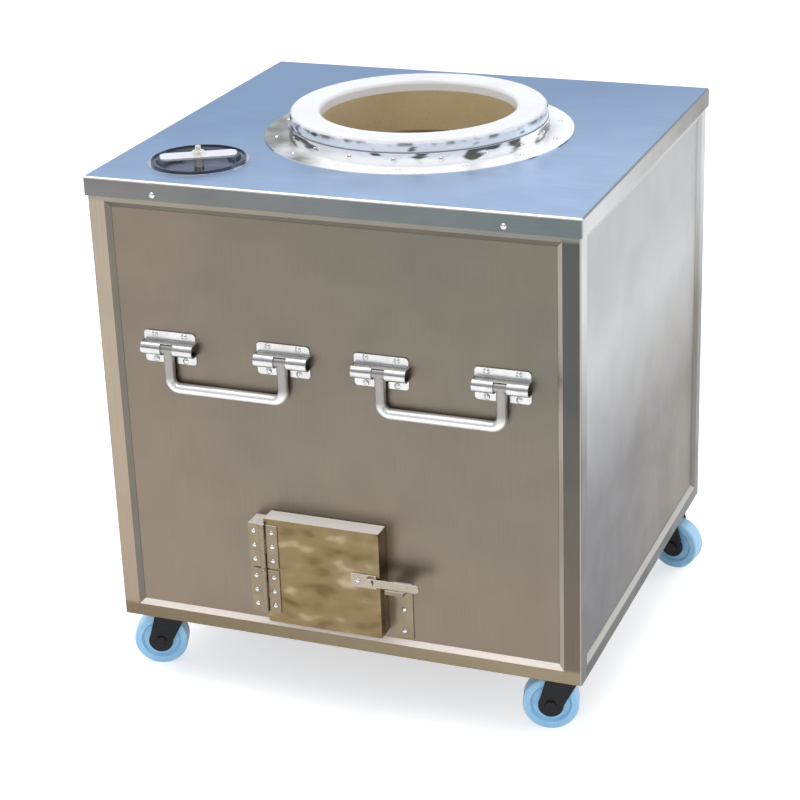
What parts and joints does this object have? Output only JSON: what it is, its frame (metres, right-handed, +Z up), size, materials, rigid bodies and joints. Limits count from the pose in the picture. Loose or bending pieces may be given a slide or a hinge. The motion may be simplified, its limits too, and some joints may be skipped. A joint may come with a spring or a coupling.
{
  "type": "mobile tandoor oven",
  "caption": "Square steel-cased charcoal tandoor on swivel castors, with a clay pot and round mouth, hinged ash door, drop handles and a lidded vent.",
  "frame": {"origin": "floor level under the middle of the overall box", "axes": "+Z up, the front with the ash door and handles faces -Y, +X to the right seen from the front"},
  "size_m": [0.7395, 0.6886, 0.815],
  "materials": {
    "casing_steel": "brushed stainless angle section",
    "panel_steel": "satin stainless sheet",
    "cover_steel": "satin stainless sheet, folded",
    "polished_steel": "polished stainless",
    "rim_white": "smooth white fired ring",
    "clay": "rough unglazed clay",
    "firebrick": "cast refractory",
    "grate_iron": "as cast",
    "door_steel": "bright folded sheet",
    "hinge_steel": "bright steel",
    "fastener_steel": "plated",
    "caster_dark": "dark pressed steel",
    "axle_steel": "zinc plated",
    "wheel_blue": "moulded blue",
    "tyre_pale": "pale elastic tread"
  },
  "bodies": {
    "cabinet": {"corner_post_front_left": "casing_steel", "corner_post_front_right": "casing_steel", "corner_post_rear_left": "casing_steel", "corner_post_rear_right": "casing_steel", "base_frame": "casing_steel", "top_frame": "casing_steel", "front_panel": "panel_steel", "rear_panel": "panel_steel", "left_panel": "panel_steel", "right_panel": "panel_steel", "floor_plate": "panel_steel", "top_cover": "cover_steel", "mouth_flange": "polished_steel", "collar_band": "polished_steel", "handle_brackets": "polished_steel", "vent_sleeve": "polished_steel", "rim_ring": "rim_white", "clay_pot": "clay", "pot_base_ring": "clay", "hearth_slab": "firebrick", "charcoal_grate": "grate_iron", "ash_tunnel": "door_steel", "hinge_blocks": "hinge_steel", "hinge_casing_leaves": "hinge_steel", "hinge_pins": "hinge_steel", "latch_keeper": "hinge_steel", "top_cover_screws": "fastener_steel", "flange_rivets": "fastener_steel", "band_rivets": "fastener_steel", "handle_screws": "fastener_steel", "casing_rivets": "fastener_steel", "caster_bolts": "fastener_steel", "caster_plates": "caster_dark"},
    "ash_door": {"ash_door": "door_steel", "hinge_door_leaves": "hinge_steel", "door_rivets": "fastener_steel", "latch_plate": "hinge_steel", "latch_pivot": "hinge_steel"},
    "latch": {"latch_bar": "hinge_steel"},
    "left_handle": {"left_handle": "polished_steel"},
    "right_handle": {"right_handle": "polished_steel"},
    "vent_lid": {"vent_lid": "polished_steel", "vent_lid_strip": "polished_steel", "vent_lid_bolt": "polished_steel"},
    "front_left_fork": {"caster_fork_front_left": "caster_dark", "caster_axle_front_left": "axle_steel"},
    "front_left_wheel": {"caster_wheel_front_left": "wheel_blue", "caster_tyre_front_left": "tyre_pale"},
    "front_right_fork": {"caster_fork_front_right": "caster_dark", "caster_axle_front_right": "axle_steel"},
    "front_right_wheel": {"caster_wheel_front_right": "wheel_blue", "caster_tyre_front_right": "tyre_pale"},
    "rear_left_fork": {"caster_fork_rear_left": "caster_dark", "caster_axle_rear_left": "axle_steel"},
    "rear_left_wheel": {"caster_wheel_rear_left": "wheel_blue", "caster_tyre_rear_left": "tyre_pale"},
    "rear_right_fork": {"caster_fork_rear_right": "caster_dark", "caster_axle_rear_right": "axle_steel"},
    "rear_right_wheel": {"caster_wheel_rear_right": "wheel_blue", "caster_tyre_rear_right": "tyre_pale"}
  },
  "joints": [
    {"name": "ash_door_swing", "type": "hinge", "parent": "cabinet", "child": "ash_door", "pos_m": [-0.1055, -0.3397, 0.2275], "axis": [0, 0, -1], "range_deg": [0, 165]},
    {"name": "latch_lift", "type": "hinge", "parent": "ash_door", "child": "latch", "pos_m": [0.053, -0.3395, 0.234], "axis": [0, -1, 0], "range_deg": [-5, 95]},
    {"name": "left_handle_swing", "type": "hinge", "parent": "cabinet", "child": "left_handle", "pos_m": [-0.157, -0.3147, 0.538], "axis": [-1, 0, 0], "range_deg": [0, 90]},
    {"name": "right_handle_swing", "type": "hinge", "parent": "cabinet", "child": "right_handle", "pos_m": [0.157, -0.3147, 0.538], "axis": [-1, 0, 0], "range_deg": [0, 90]},
    {"name": "vent_lid_lift", "type": "slide", "parent": "cabinet", "child": "vent_lid", "axis": [0, 0, 1], "range_m": [0, 0.12]},
    {"name": "front_left_swivel", "type": "hinge", "parent": "cabinet", "child": "front_left_fork", "pos_m": [-0.307, -0.2407, 0.09], "axis": [0, 0, 1], "continuous": true},
    {"name": "front_left_roll", "type": "hinge", "parent": "front_left_fork", "child": "front_left_wheel", "pos_m": [-0.32767, -0.24822, 0.04], "axis": [-0.342, 0.9397, 0], "continuous": true},
    {"name": "front_right_swivel", "type": "hinge", "parent": "cabinet", "child": "front_right_fork", "pos_m": [0.307, -0.2407, 0.09], "axis": [0, 0, 1], "continuous": true},
    {"name": "front_right_roll", "type": "hinge", "parent": "front_right_fork", "child": "front_right_wheel", "pos_m": [0.28575, -0.24639, 0.04], "axis": [-0.2588, 0.9659, 0], "continuous": true},
    {"name": "rear_left_swivel", "type": "hinge", "parent": "cabinet", "child": "rear_left_fork", "pos_m": [-0.307, 0.2903, 0.09], "axis": [0, 0, 1], "continuous": true},
    {"name": "rear_left_roll", "type": "hinge", "parent": "rear_left_fork", "child": "rear_left_wheel", "pos_m": [-0.32767, 0.28278, 0.04], "axis": [-0.342, 0.9397, 0], "continuous": true},
    {"name": "rear_right_swivel", "type": "hinge", "parent": "cabinet", "child": "rear_right_fork", "pos_m": [0.307, 0.2903, 0.09], "axis": [0, 0, 1], "continuous": true},
    {"name": "rear_right_roll", "type": "hinge", "parent": "rear_right_fork", "child": "rear_right_wheel", "pos_m": [0.32867, 0.28648, 0.04], "axis": [-0.1736, -0.9848, 0], "continuous": true}
  ]
}
